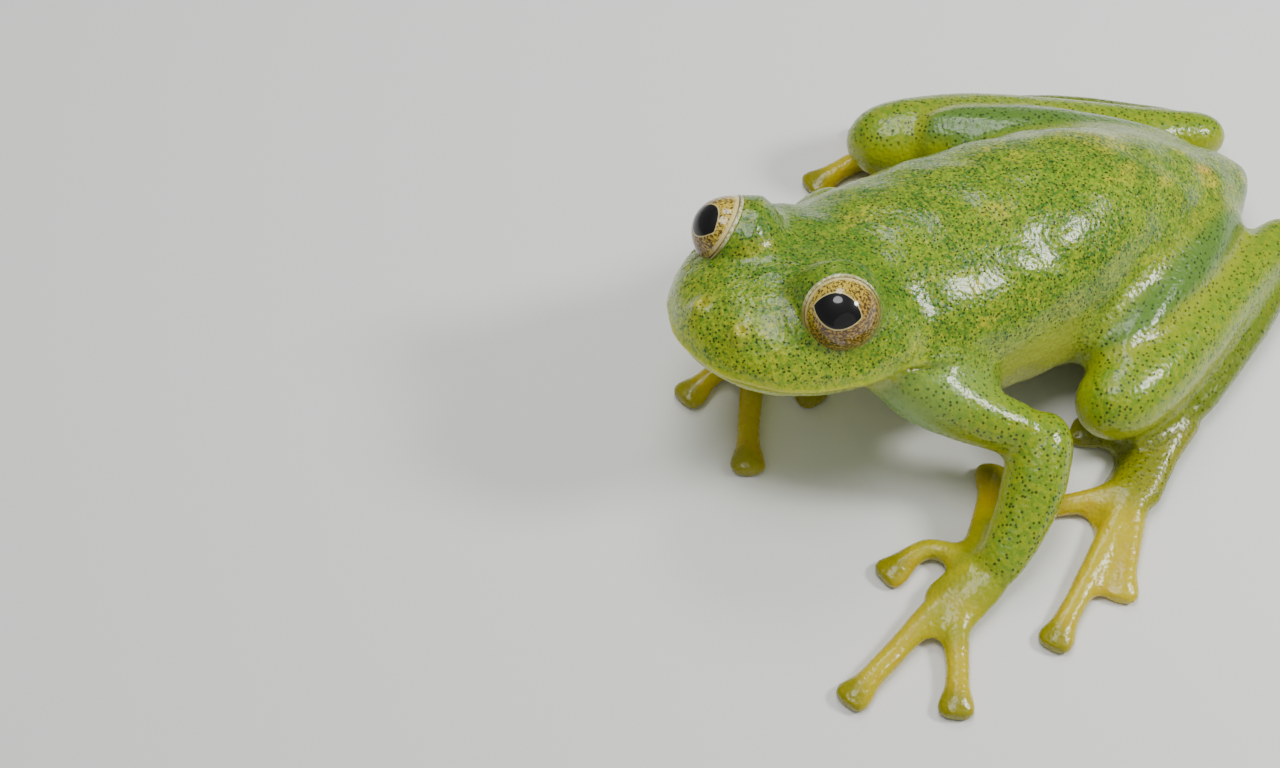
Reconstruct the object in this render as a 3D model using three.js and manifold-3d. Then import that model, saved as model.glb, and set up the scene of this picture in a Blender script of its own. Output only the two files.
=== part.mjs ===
// Glass frog, sitting with its forebody raised and its hind legs folded, as a still life-size model.
// Millimetres, +Z up, the frog looks along -Y and its own left side is +X. It rests on the plane Z = 0.
import * as THREE from 'three';
import { LoftGeometry } from 'three/addons/geometries/LoftGeometry.js';
import { mergeVertices } from 'three/addons/utils/BufferGeometryUtils.js';
import Module from 'manifold-3d';

const wasm = await Module();
wasm.setup();

// Gaps between nodes
const GAP = 0.3;
const EYE_GAP = 0.2;

// Head: an egg-shaped form round a vertical axis, cut by the line of the mouth
const HEAD_PLACE = new THREE.Vector3(-0.2, -7.4, 9.05);
const HEAD_YAW = 12.5;
const HEAD_NOSE_UP = 15;
const HEAD_LEFT_UP = 7;
const HEAD_HALF_WIDTH = 4.9;
const HEAD_AXIS_BACK = 2.4;
const SNOUT_REACH = 6.5;
const NAPE_REACH = 3.0;
const CROWN_HEIGHT = 0.6;
const MOUTH_HEIGHT = -2.5;
const THROAT_DROP = 1.05;
const LOWER_JAW_INSET = 0.32;
const LIP_HALF_HEIGHT = 0.2;
const MOUTH_DEPTH = 0.6;
const LIP_OVERBITE = 0.08;
const OUTLINE_ROUNDNESS = 2.05;
const CROWN_ROUNDNESS = 2.3;
const THROAT_ROUNDNESS = 2.2;
const NOSTRIL_SIDE = 1.0;
const NOSTRIL_FORWARD = 3.15;
const NOSTRIL_BUMP = 0.42;
const NOSTRIL_BUMP_SINK = 0.27;
const NOSTRIL_PIT = 0.17;
const NOSTRIL_PIT_RISE = 0.12;

// Eyes, set in rounded mounds that end in a lid all round
const EYE_SIDE = 2.8;
const EYE_RADIUS = 1.45;
const CORNEA_RADIUS = 1.08;
const CORNEA_OUT = 0.46;
const EYE_AZIMUTH = 32;
const EYE_ELEVATION = 36;
const LID_AZIMUTH = 50;
const LID_ELEVATION = 24;
const LID_RADIUS = 1.88;
const LID_PLANE = 0.45;
const LID_SINK = 0.15;
const LID_CUT_RADIUS = 3;
const LID_CUT_HEIGHT = 2;

// Trunk stations from the shoulders to the vent: place along Y, side shift, top, widest height, bottom, half width
const TRUNK = [
  [-6.4, 0.1, 8.5, 6.8, 4.9, 3.5],
  [-4.6, 0.1, 8.8, 5.6, 3.3, 4.4],
  [-2.4, 0.0, 8.8, 4.3, 1.8, 4.95],
  [0.4, 0.0, 8.6, 3.6, 0.9, 5.05],
  [3.4, 0.1, 8.5, 3.3, 0.6, 4.8],
  [6.2, 0.1, 8.1, 3.0, 0.5, 4.2],
  [9.0, 0.1, 6.8, 2.7, 0.5, 3.4],
  [11.4, 0.2, 5.3, 2.5, 0.6, 2.6],
  [13.2, 0.3, 4.0, 2.4, 0.9, 1.8],
  [14.2, 0.3, 3.2, 2.3, 1.4, 0.9],
];

const TRUNK_ROUNDNESS = 2.2;
const VENT_LENGTH = 0.45;

// Limbs: each station is X, Y, Z, half width, half height
const ARM_LEFT = {
  upper: [[3.2, -4.1, 5.4, 1.8, 1.8], [4.7, -3.5, 4.8, 1.6, 1.6], [6.3, -2.1, 4.1, 1.2, 1.15],
    [7.5, -0.65, 3.45, 1.0, 1.0]],
  fore: [[7.75, -0.45, 3.3, 1.2, 1.15], [8.8, -1.5, 2.5, 1.3, 1.2], [9.8, -2.8, 1.7, 1.1, 0.95],
    [10.5, -4.0, 1.15, 0.95, 0.75]],
  palm: [[10.35, -4.1, 0.95, 0.95, 0.75], [10.6, -5.2, 0.7, 1.15, 0.6], [10.9, -6.5, 0.5, 1.25, 0.5]],
  digits: [
    [[10.0, -4.6], [9.0, -3.9], [7.8, -2.7], [6.7, -1.7]],
    [[10.3, -5.1], [9.1, -4.9], [8.1, -5.6], [8.4, -7.3]],
    [[10.6, -6.2], [11.0, -7.9], [11.6, -9.6], [12.15, -11.3]],
    [[10.9, -5.9], [11.9, -6.8], [13.0, -7.4], [14.3, -8.3]],
  ],
};
const ARM_RIGHT = {
  upper: [[-3.2, -4.4, 5.2, 1.7, 1.7], [-4.4, -3.7, 4.3, 1.3, 1.3], [-5.4, -2.6, 3.3, 1.05, 1.05],
    [-6.0, -1.6, 2.7, 1.0, 1.0]],
  fore: [[-6.1, -1.4, 2.45, 1.25, 1.2], [-5.9, -2.8, 1.95, 1.25, 1.15], [-5.1, -4.2, 1.4, 1.05, 0.95],
    [-4.2, -5.2, 1.0, 0.9, 0.75]],
  palm: [[-4.2, -5.2, 0.85, 0.9, 0.7], [-3.5, -6.0, 0.65, 1.1, 0.6], [-2.8, -6.9, 0.5, 1.2, 0.5]],
  digits: [
    [[-3.6, -5.4], [-2.6, -4.9], [-1.6, -4.3], [-0.6, -3.7]],
    [[-3.1, -6.0], [-2.1, -5.9], [-1.1, -5.9], [-0.1, -5.8]],
    [[-2.9, -6.6], [-1.6, -7.6], [0.0, -8.7], [1.5, -9.6]],
    [[-3.2, -6.5], [-3.0, -7.6], [-2.7, -8.7], [-2.4, -9.9]],
  ],
};
const LEG_LEFT = {
  thigh: [[1.3, 11.9, 2.9, 1.6, 1.6], [2.5, 9.9, 3.1, 1.9, 1.9], [4.3, 7.0, 3.2, 1.8, 1.9],
    [6.3, 4.0, 3.0, 1.4, 1.5]],
  shank: [[7.3, 3.2, 2.75, 1.7, 1.65], [6.7, 5.4, 2.6, 1.8, 1.75], [5.5, 8.6, 2.25, 1.6, 1.55],
    [4.2, 12.0, 1.8, 1.2, 1.2], [3.4, 14.3, 1.5, 1.05, 1.1]],
  tarsus: [[3.9, 14.6, 0.95, 0.8, 0.75], [5.5, 12.1, 0.9, 0.75, 0.72], [6.9, 9.2, 0.85, 0.8, 0.7],
    [7.9, 6.8, 0.8, 0.85, 0.65]],
  sole: [[7.95, 6.7, 0.78, 0.85, 0.65], [8.9, 4.5, 0.7, 0.95, 0.6], [10.1, 2.5, 0.55, 1.1, 0.5]],
  digits: [
    [[8.6, 5.3], [7.8, 5.1], [7.1, 4.9], [6.4, 4.8]],
    [[9.0, 4.5], [8.3, 3.8], [7.5, 3.2], [6.7, 2.6]],
    [[9.9, 2.4], [9.6, 1.2], [9.2, 0.1], [8.7, -1.1]],
    [[10.2, 2.2], [11.4, 0.3], [12.6, -1.6], [13.75, -3.5]],
    [[10.3, 2.4], [11.4, 1.5], [12.3, 0.7], [13.2, -0.2]],
  ],
};
const LEG_RIGHT = {
  thigh: [[-0.9, 11.9, 2.9, 1.6, 1.6], [-2.3, 9.9, 3.1, 1.9, 1.9], [-4.6, 7.0, 3.3, 1.8, 1.9],
    [-6.9, 4.0, 3.2, 1.4, 1.5]],
  shank: [[-8.1, 2.5, 2.7, 1.7, 1.65], [-7.2, 5.3, 2.6, 1.75, 1.7], [-5.7, 8.7, 2.25, 1.55, 1.5],
    [-3.9, 12.5, 1.8, 1.2, 1.2], [-2.7, 14.9, 1.5, 1.05, 1.1]],
  tarsus: [[-3.3, 15.1, 1.05, 0.85, 0.8], [-5.3, 13.0, 1.0, 0.8, 0.8], [-7.0, 10.8, 0.95, 0.85, 0.8],
    [-8.1, 8.7, 0.9, 0.95, 0.75]],
  sole: [[-8.15, 8.6, 0.85, 0.95, 0.75], [-8.7, 6.6, 0.75, 1.1, 0.65], [-9.1, 4.8, 0.6, 1.25, 0.55]],
  digits: [
    [[-8.6, 6.0], [-7.6, 5.2], [-6.7, 4.6], [-5.8, 4.2]],
    [[-8.7, 5.2], [-7.6, 4.0], [-6.6, 3.0], [-5.7, 2.3]],
    [[-8.9, 4.8], [-8.3, 3.4], [-7.6, 2.0], [-7.2, 0.6]],
    [[-9.2, 4.4], [-9.3, 2.9], [-9.3, 1.5], [-9.2, 0.1]],
    [[-9.2, 5.0], [-9.8, 4.3], [-10.1, 3.7], [-10.4, 3.0]],
  ],
};

// Fingers and toes: shaft and pad sizes
const DIGIT_HALF_WIDTH = 0.49;
const DIGIT_HALF_HEIGHT = 0.4;
const DIGIT_ROOT_SWELL = 1.25;
const PAD_HALF_WIDTH = 0.8;
const PAD_HALF_HEIGHT = 0.32;
const PAD_LENGTH = 0.95;
const PAD_SQUARENESS = 2.5;
// Outline of a pad: places along its length and half widths, as fractions
const PAD_OUTLINE = [[-0.75, 0.6], [-0.2, 0.9], [0.2, 1], [0.48, 0.86], [0.6, 0.55]];
const SOLE_SINK = 0.05;
const WEB_THICKNESS = 0.3;
const WEB_REACH_HAND = 0.36;
const WEB_REACH_FOOT = 0.5;

// Colours and finish of the skin and the eyes
const GREEN = 0x7fae3a;
const LIMB_GREEN = 0x9dbb45;
const YELLOW = 0xc9b32c;
const IRIS_GOLD = 0xc9a865;

// Facets round a limb, a digit and the trunk, and spokes of the head
const LIMB_SIDES = 12;
const DIGIT_SIDES = 8;
const LIMB_CAPS = [15, 50];
const DIGIT_CAPS = [35];
const TRUNK_SIDES = 24;
const HEAD_SPOKES = 32;

// Solids

function volumeOf(geometry) {
  const p = geometry.attributes.position;
  const index = geometry.index;
  const a = new THREE.Vector3();
  const b = new THREE.Vector3();
  const c = new THREE.Vector3();
  let sum = 0;
  for (let i = 0; i < index.count; i += 3) {
    a.fromBufferAttribute(p, index.getX(i));
    b.fromBufferAttribute(p, index.getX(i + 1));
    c.fromBufferAttribute(p, index.getX(i + 2));
    sum += a.dot(b.cross(c)) / 6;
  }
  return sum;
}

// One closed shell with shared vertices and its faces pointing out
function shell(geometry) {
  const bare = new THREE.BufferGeometry().copy(geometry);
  bare.deleteAttribute('normal');
  bare.deleteAttribute('uv');
  const merged = mergeVertices(bare, 1e-4);
  if (volumeOf(merged) < 0) {
    const flipped = [];
    for (let i = 0; i < merged.index.count; i += 3) {
      flipped.push(merged.index.getX(i), merged.index.getX(i + 2), merged.index.getX(i + 1));
    }
    merged.setIndex(flipped);
  }
  return merged;
}

// The same shell moved outwards along its normals, which leaves a gap when it is cut from a neighbour
function swollen(geometry, amount) {
  const copy = geometry.clone();
  copy.computeVertexNormals();
  const p = copy.attributes.position;
  const n = copy.attributes.normal;
  for (let i = 0; i < p.count; i++) {
    p.setXYZ(i, p.getX(i) + amount * n.getX(i), p.getY(i) + amount * n.getY(i), p.getZ(i) + amount * n.getZ(i));
  }
  return copy;
}

function solid(geometry) {
  return new wasm.Manifold(new wasm.Mesh({
    numProp: 3,
    vertProperties: new Float32Array(geometry.attributes.position.array),
    triVerts: new Uint32Array(geometry.index.array),
  }));
}

function joined(geometries) {
  return geometries.map(solid).reduce((a, b) => a.add(b));
}

function largest(manifold) {
  return manifold.decompose().reduce((a, b) => (a.volume() > b.volume() ? a : b));
}

function geometryOf(manifold) {
  const mesh = manifold.getMesh();
  const geometry = new THREE.BufferGeometry();
  geometry.setAttribute('position', new THREE.BufferAttribute(new Float32Array(mesh.vertProperties), 3));
  geometry.setIndex(Array.from(mesh.triVerts));
  geometry.computeVertexNormals();
  return geometry;
}

// Shapes

function power(value, exponent) {
  return Math.sign(value) * Math.abs(value) ** exponent;
}

// A closed loft whose rings are turned, where needed, so that its walls face outwards
function loft(rings) {
  const middle = Math.floor(rings.length / 2);
  const points = rings[middle];
  const normal = new THREE.Vector3();
  points.forEach((p, i) => {
    const q = points[(i + 1) % points.length];
    normal.add(new THREE.Vector3().crossVectors(p, q));
  });
  const centre = (list) => list.reduce((sum, p) => sum.add(p), new THREE.Vector3()).divideScalar(list.length);
  const along = centre(rings[middle + 1]).sub(centre(rings[middle - 1]));
  const turned = normal.dot(along) < 0 ? rings.map((points) => points.slice().reverse()) : rings;
  return new LoftGeometry(turned, { closed: true, capStart: true, capEnd: true });
}

// A smooth run of stations through the given ones, with Catmull-Rom steps
function refine(stations, steps) {
  const out = [];
  const last = stations.length - 1;
  for (let i = 0; i < last; i++) {
    const p0 = stations[Math.max(i - 1, 0)];
    const p1 = stations[i];
    const p2 = stations[i + 1];
    const p3 = stations[Math.min(i + 2, last)];
    for (let s = 0; s < steps; s++) {
      const t = s / steps;
      out.push(p1.map((v, k) => 0.5 * (2 * v + (p2[k] - p0[k]) * t
        + (2 * p0[k] - 5 * v + 4 * p2[k] - p3[k]) * t * t
        + (3 * v - p0[k] - 3 * p2[k] + p3[k]) * t * t * t)));
    }
  }
  out.push(stations[last]);
  return out;
}

function ring(centre, side, up, halfWidth, halfHeight, sides, exponent = 2) {
  const points = [];
  for (let j = 0; j < sides; j++) {
    const a = (j / sides) * 2 * Math.PI;
    const x = power(Math.cos(a), 2 / exponent) * halfWidth;
    const y = power(Math.sin(a), 2 / exponent) * halfHeight;
    points.push(centre.clone().addScaledVector(side, x).addScaledVector(up, y));
  }
  return points;
}

// A limb: rounded at both ends, thick and thin where the stations say
function limb(stations, sides = LIMB_SIDES, steps = 2, caps = LIMB_CAPS) {
  const run = refine(stations, steps);
  const centres = run.map((s) => new THREE.Vector3(s[0], s[1], s[2]));
  const rings = [];
  const frames = centres.map((c, i) => {
    const along = centres[Math.min(i + 1, run.length - 1)].clone().sub(centres[Math.max(i - 1, 0)]).normalize();
    const side = new THREE.Vector3().crossVectors(along, new THREE.Vector3(0, 0, 1)).normalize();
    const up = new THREE.Vector3().crossVectors(side, along).normalize();
    return { along, side, up };
  });
  const cap = (i, sign) => {
    const { along, side, up } = frames[i];
    const [w, h] = [run[i][3], run[i][4]];
    const reach = Math.min(w, h);
    for (const degrees of sign < 0 ? caps : caps.slice().reverse()) {
      const a = THREE.MathUtils.degToRad(degrees);
      const centre = centres[i].clone().addScaledVector(along, sign * reach * Math.cos(a));
      rings.push(ring(centre, side, up, w * Math.sin(a), h * Math.sin(a), sides));
    }
  };
  cap(0, -1);
  run.forEach((s, i) => {
    rings.push(ring(centres[i], frames[i].side, frames[i].up, s[3], s[4], sides));
  });
  cap(run.length - 1, 1);
  return shell(loft(rings));
}

// A finger or toe that lies on the ground and ends in a broad, cut-off pad
function digit(path, rootHeight) {
  const count = path.length - 1;
  const stations = path.map(([x, y], i) => {
    const t = i / count;
    const swell = DIGIT_ROOT_SWELL + (1 - DIGIT_ROOT_SWELL) * Math.min(1, t * 1.6);
    const z = DIGIT_HALF_HEIGHT - SOLE_SINK + (rootHeight - DIGIT_HALF_HEIGHT) * (1 - t) ** 2;
    return [x, y, z, DIGIT_HALF_WIDTH * swell, DIGIT_HALF_HEIGHT * swell];
  });
  const shaft = limb(stations, DIGIT_SIDES, 1, DIGIT_CAPS);
  const tip = new THREE.Vector3(path[count][0], path[count][1], PAD_HALF_HEIGHT - SOLE_SINK);
  const before = new THREE.Vector3(path[count - 1][0], path[count - 1][1], tip.z);
  const along = tip.clone().sub(before).normalize();
  const side = new THREE.Vector3(along.y, -along.x, 0);
  const up = new THREE.Vector3(0, 0, 1);
  const rings = PAD_OUTLINE.map(([t, w]) => ring(
    tip.clone().addScaledVector(along, t * PAD_LENGTH),
    side,
    up,
    PAD_HALF_WIDTH * w,
    PAD_HALF_HEIGHT * (0.55 + 0.45 * w),
    DIGIT_SIDES,
    PAD_SQUARENESS,
  ));
  return [shaft, shell(loft(rings))];
}

// The web between two neighbouring digits, a thin plate with a hollow front edge
function web(pathA, pathB, reach) {
  const curve = (path) => new THREE.CatmullRomCurve3(path.map(([x, y]) => new THREE.Vector3(x, y, 0)));
  const a = curve(pathA);
  const b = curve(pathB);
  const steps = [0, 0.35, 0.7, 1].map((t) => t * reach);
  const edgeA = steps.map((t) => a.getPoint(t));
  const edgeB = steps.map((t) => b.getPoint(t));
  const hollow = a.getPoint(reach * 0.72).add(b.getPoint(reach * 0.72)).multiplyScalar(0.5);
  const shape = new THREE.Shape();
  shape.moveTo(edgeA[0].x, edgeA[0].y);
  edgeA.slice(1).forEach((p) => shape.lineTo(p.x, p.y));
  shape.quadraticCurveTo(hollow.x, hollow.y, edgeB[3].x, edgeB[3].y);
  edgeB.slice(0, 3).reverse().forEach((p) => shape.lineTo(p.x, p.y));
  shape.closePath();
  return shell(new THREE.ExtrudeGeometry(shape, { depth: WEB_THICKNESS, bevelEnabled: false, curveSegments: 4 }));
}

// Palm or sole with its digits and webs
function paddle({ sole, digits, webs, reach }) {
  const rootHeight = sole[1][2];
  const pieces = [limb(sole)];
  digits.forEach((path) => pieces.push(...digit(path, rootHeight)));
  webs.forEach(([i, j]) => pieces.push(web(digits[i], digits[j], reach)));
  return pieces;
}

function trunk() {
  const sections = refine(TRUNK, 2).map(([y, x, top, wide, bottom, half]) => {
    const points = [];
    for (let j = 0; j < TRUNK_SIDES; j++) {
      const a = (j / TRUNK_SIDES) * 2 * Math.PI;
      const height = Math.sin(a) > 0 ? top - wide : wide - bottom;
      points.push(new THREE.Vector3(
        x + half * power(Math.cos(a), 2 / TRUNK_ROUNDNESS),
        y,
        wide + height * power(Math.sin(a), 2 / TRUNK_ROUNDNESS),
      ));
    }
    return points;
  });
  const [y, x, top, , bottom, half] = TRUNK[TRUNK.length - 1];
  const tail = new THREE.Vector3(x, y + VENT_LENGTH, (top + bottom) / 2);
  const [side, up] = [new THREE.Vector3(1, 0, 0), new THREE.Vector3(0, 0, 1)];
  sections.push(ring(tail, side, up, half * 0.45, (top - bottom) * 0.22, TRUNK_SIDES));
  return shell(loft(sections));
}

// Reach of the head's outline from its upright axis, in the direction of the angle (0 is straight ahead)
function outlineReach(angle) {
  const ahead = Math.cos(angle);
  const across = Math.abs(Math.sin(angle));
  const length = ahead > 0 ? SNOUT_REACH : NAPE_REACH;
  const sum = (Math.abs(ahead) / length) ** OUTLINE_ROUNDNESS + (across / HEAD_HALF_WIDTH) ** OUTLINE_ROUNDNESS;
  return sum ** (-1 / OUTLINE_ROUNDNESS);
}

// Half section of the head as fractions of the reach and heights, from the crown to the throat
function headProfile(reach) {
  const points = [];
  const rise = CROWN_HEIGHT - MOUTH_HEIGHT - LIP_HALF_HEIGHT;
  for (const degrees of [10, 26, 42, 57, 70, 81, 90]) {
    const a = THREE.MathUtils.degToRad(degrees);
    points.push([
      reach * Math.sin(a) ** (2 / CROWN_ROUNDNESS),
      MOUTH_HEIGHT + LIP_HALF_HEIGHT + rise * Math.cos(a) ** (2 / CROWN_ROUNDNESS),
    ]);
  }
  points.push([reach - LIP_OVERBITE, MOUTH_HEIGHT + LIP_HALF_HEIGHT * 0.3]);
  points.push([reach - MOUTH_DEPTH, MOUTH_HEIGHT]);
  points.push([reach - LOWER_JAW_INSET, MOUTH_HEIGHT - LIP_HALF_HEIGHT]);
  for (const degrees of [72, 44, 15]) {
    const a = THREE.MathUtils.degToRad(degrees);
    points.push([
      (reach - LOWER_JAW_INSET) * Math.sin(a) ** (2 / THROAT_ROUNDNESS),
      MOUTH_HEIGHT - LIP_HALF_HEIGHT - THROAT_DROP * Math.cos(a) ** (2 / THROAT_ROUNDNESS),
    ]);
  }
  return points;
}

const headMatrix = new THREE.Matrix4().compose(
  HEAD_PLACE,
  new THREE.Quaternion().setFromEuler(new THREE.Euler(
    THREE.MathUtils.degToRad(-HEAD_NOSE_UP),
    THREE.MathUtils.degToRad(-HEAD_LEFT_UP),
    THREE.MathUtils.degToRad(HEAD_YAW),
    'ZXY',
  )),
  new THREE.Vector3(1, 1, 1),
);

function headForm() {
  const profiles = [];
  for (let i = 0; i < HEAD_SPOKES; i++) {
    const angle = (i / HEAD_SPOKES) * 2 * Math.PI;
    profiles.push(headProfile(outlineReach(angle)).map(([r, z]) => new THREE.Vector3(
      r * Math.sin(angle),
      HEAD_AXIS_BACK - r * Math.cos(angle),
      z,
    )));
  }
  const rings = profiles[0].map((_, k) => profiles.map((profile) => profile[k]));
  return shell(loft(rings).applyMatrix4(headMatrix));
}

function ball(radius, centre, wide = 16, high = 10) {
  return shell(new THREE.SphereGeometry(radius, wide, high).translate(centre.x, centre.y, centre.z));
}

// A direction in the head: azimuth 0 is straight ahead and 90 to the side, elevation is above the mouth's plane
function pointing(side, azimuthDegrees, elevationDegrees) {
  const azimuth = THREE.MathUtils.degToRad(azimuthDegrees);
  const elevation = THREE.MathUtils.degToRad(elevationDegrees);
  return new THREE.Vector3(
    side * Math.sin(azimuth) * Math.cos(elevation),
    -Math.cos(azimuth) * Math.cos(elevation),
    Math.sin(elevation),
  );
}

// Everything about one eye, in the head's own directions: side is 1 for the left eye and -1 for the right
function eyeParts(side) {
  const centre = new THREE.Vector3(side * EYE_SIDE, 0, 0);
  const lidAxis = pointing(side, LID_AZIMUTH, LID_ELEVATION);
  const cornea = centre.clone().addScaledVector(pointing(side, EYE_AZIMUTH, EYE_ELEVATION), CORNEA_OUT);
  const mound = centre.clone().addScaledVector(lidAxis, -LID_SINK);
  const cut = new THREE.CylinderGeometry(LID_CUT_RADIUS, LID_CUT_RADIUS, LID_CUT_HEIGHT, 12);
  cut.applyQuaternion(new THREE.Quaternion().setFromUnitVectors(new THREE.Vector3(0, 1, 0), lidAxis));
  const opening = centre.clone().addScaledVector(lidAxis, LID_PLANE + LID_CUT_HEIGHT / 2);
  cut.translate(opening.x, opening.y, opening.z);
  const place = (geometry) => geometry.applyMatrix4(headMatrix);
  const eyeball = place(ball(EYE_RADIUS, centre));
  const lens = place(ball(CORNEA_RADIUS, cornea, 14, 8));
  const lid = largest(solid(place(ball(LID_RADIUS, mound, 18, 12))).subtract(solid(place(shell(cut)))));
  return { eyeball, lens, lid };
}

const eyes = { left: eyeParts(1), right: eyeParts(-1) };

function nostril(side, radius, out) {
  const spot = new THREE.Vector3(side * NOSTRIL_SIDE, -NOSTRIL_FORWARD, 0);
  const fromAxis = new THREE.Vector2(spot.x, spot.y - HEAD_AXIS_BACK);
  const reach = outlineReach(Math.atan2(Math.abs(spot.x), HEAD_AXIS_BACK + NOSTRIL_FORWARD));
  const share = Math.min(fromAxis.length() / reach, 0.99);
  const rise = CROWN_HEIGHT - MOUTH_HEIGHT - LIP_HALF_HEIGHT;
  const height = rise * (1 - share ** CROWN_ROUNDNESS) ** (1 / CROWN_ROUNDNESS);
  spot.z = MOUTH_HEIGHT + LIP_HALF_HEIGHT + height + out;
  return ball(radius, spot, 8, 6).applyMatrix4(headMatrix);
}

function head() {
  let body = solid(headForm()).add(eyes.left.lid).add(eyes.right.lid);
  for (const side of [1, -1]) {
    body = body.add(solid(nostril(side, NOSTRIL_BUMP, -NOSTRIL_BUMP_SINK)));
    body = body.subtract(solid(nostril(side, NOSTRIL_PIT, NOSTRIL_PIT_RISE)));
  }
  for (const eye of [eyes.left, eyes.right]) {
    body = body.subtract(solid(swollen(eye.eyeball, EYE_GAP))).subtract(solid(swollen(eye.lens, EYE_GAP)));
  }
  return body;
}

// Nodes in order: each one is cut clear of all those before it

const plans = [];

function plan(name, colour, roughness, pieces, body = null) {
  plans.push({ name, colour, roughness, pieces, body });
}

plan('eye_left', IRIS_GOLD, 0.1, [eyes.left.eyeball, eyes.left.lens]);
plan('eye_right', IRIS_GOLD, 0.1, [eyes.right.eyeball, eyes.right.lens]);
plan('head', GREEN, 0.4, [headForm()], head());
plan('torso', GREEN, 0.4, [trunk()]);
for (const [side, arm, leg] of [['left', ARM_LEFT, LEG_LEFT], ['right', ARM_RIGHT, LEG_RIGHT]]) {
  plan(`shank_${side}`, LIMB_GREEN, 0.35, [limb(leg.shank)]);
  plan(`forearm_${side}`, LIMB_GREEN, 0.35, [limb(arm.fore)]);
  plan(`thigh_${side}`, LIMB_GREEN, 0.35, [limb(leg.thigh)]);
  plan(`upper_arm_${side}`, LIMB_GREEN, 0.35, [limb(arm.upper)]);
  plan(`tarsus_${side}`, LIMB_GREEN, 0.35, [limb(leg.tarsus)]);
  plan(`hand_${side}`, YELLOW, 0.3, paddle({
    sole: arm.palm,
    digits: arm.digits,
    webs: [[1, 2], [2, 3]],
    reach: WEB_REACH_HAND,
  }));
  plan(`foot_${side}`, YELLOW, 0.3, paddle({
    sole: leg.sole,
    digits: leg.digits,
    webs: [[0, 1], [1, 2], [2, 3], [3, 4]],
    reach: WEB_REACH_FOOT,
  }));
}

const ground = solid(shell(new THREE.BoxGeometry(80, 80, 20).translate(0, 0, -10)));

const group = new THREE.Group();
const placed = [];
for (const { name, colour, roughness, pieces, body } of plans) {
  let form = body ?? joined(pieces);
  for (const before of placed) {
    if (name !== 'head' || !before.name.startsWith('eye')) {
      for (const piece of before.pieces) {
        form = form.subtract(solid(swollen(piece, GAP)));
      }
    }
  }
  form = largest(form.subtract(ground));
  placed.push({ name, pieces });
  const material = new THREE.MeshStandardMaterial({ color: colour, roughness, metalness: 0 });
  const mesh = new THREE.Mesh(geometryOf(form), material);
  mesh.name = name;
  group.add(mesh);
}

// The origin is under the middle of the frog, on the ground
const box = new THREE.Box3().setFromObject(group);
group.position.set(-(box.min.x + box.max.x) / 2, -(box.min.y + box.max.y) / 2, 0);

export default group;
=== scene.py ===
"""Looks of a life-size glass frog: skin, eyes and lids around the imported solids, on a pale studio floor.

In the panel and in the named values sizes are in millimetres and angles in degrees, where no comment says
otherwise. The pieces themselves are in metres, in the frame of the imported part: +Z is up, the frog looks
along -Y, and its own left side is +X.
"""

import heapq
import math

import bpy
import numpy as np
from bpy.props import FloatProperty, FloatVectorProperty, IntProperty, PointerProperty
from bpy.types import Operator, Panel, PropertyGroup
from mathutils import Matrix, Vector
from mathutils.bvhtree import BVHTree
from mathutils.kdtree import KDTree


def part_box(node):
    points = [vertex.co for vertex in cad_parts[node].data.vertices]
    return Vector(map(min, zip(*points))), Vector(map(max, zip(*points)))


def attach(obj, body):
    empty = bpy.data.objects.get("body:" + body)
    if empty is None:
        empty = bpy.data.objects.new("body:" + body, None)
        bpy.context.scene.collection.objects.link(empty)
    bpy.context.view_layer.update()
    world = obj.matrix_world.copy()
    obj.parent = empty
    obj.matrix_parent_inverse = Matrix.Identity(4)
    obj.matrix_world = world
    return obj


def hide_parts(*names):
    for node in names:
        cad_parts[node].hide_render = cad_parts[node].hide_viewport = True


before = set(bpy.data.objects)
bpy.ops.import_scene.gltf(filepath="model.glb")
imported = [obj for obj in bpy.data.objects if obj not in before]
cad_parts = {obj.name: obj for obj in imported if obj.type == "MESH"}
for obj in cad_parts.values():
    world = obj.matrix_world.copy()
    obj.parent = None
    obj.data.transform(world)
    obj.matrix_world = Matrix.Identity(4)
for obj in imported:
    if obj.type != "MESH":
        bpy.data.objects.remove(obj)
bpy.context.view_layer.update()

bl_info = {
    "name": "Glass frog",
    "version": (1, 0, 0),
    "blender": (4, 5, 0),
    "location": "View3D > Sidebar > Frog",
    "description": "Skin, eyes, lids and studio for a life-size glass frog",
    "category": "Object",
}

MM = 0.001
BODY = "root"

# Nodes of flesh, by the colour of their skin, and those of the eyes: 1 is the frog's left side, -1 its right
BACK_NODES = ("head", "torso")
LIMB_NODES = tuple(f"{name}_{side}" for side in ("left", "right")
                   for name in ("upper_arm", "forearm", "thigh", "shank", "tarsus"))
DIGIT_NODES = tuple(f"{name}_{side}" for side in ("left", "right") for name in ("hand", "foot"))
EYE_NODES = {1: "eye_left", -1: "eye_right"}

# The head's own directions, turned as its solid is
HEAD_YAW = 12.5
HEAD_NOSE_UP = 15
HEAD_LEFT_UP = 7

# In these directions, from the point between the eyes: the line of the mouth and the axis of the head
MOUTH_HEIGHT = -2.5
HEAD_AXIS_BACK = 2.4

# How far head and throat reach from the point between the eyes
HEAD_REACH = 8
THROAT_REACH = 9

# Where the pupils look and where the lids open, as azimuth from straight ahead and elevation
PUPIL_TOWARDS = {1: (32, 36), -1: (22, 36)}
LID_TOWARDS = (50, 24)

# Length of each pupil's slit, as a share of the full one
PUPIL_SHARE = {1: 1.0, -1: 0.82}

# Nostrils, ahead and to the side of the point between the eyes, with their mounds and pits
NOSTRIL_FORWARD = 3.15
NOSTRIL_SIDE = 1.0
NOSTRIL_MOUND = 0.10
NOSTRIL_MOUND_WIDTH = 0.38
NOSTRIL_PIT = 0.26
NOSTRIL_ABOVE_MOUTH = 0.5

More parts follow.
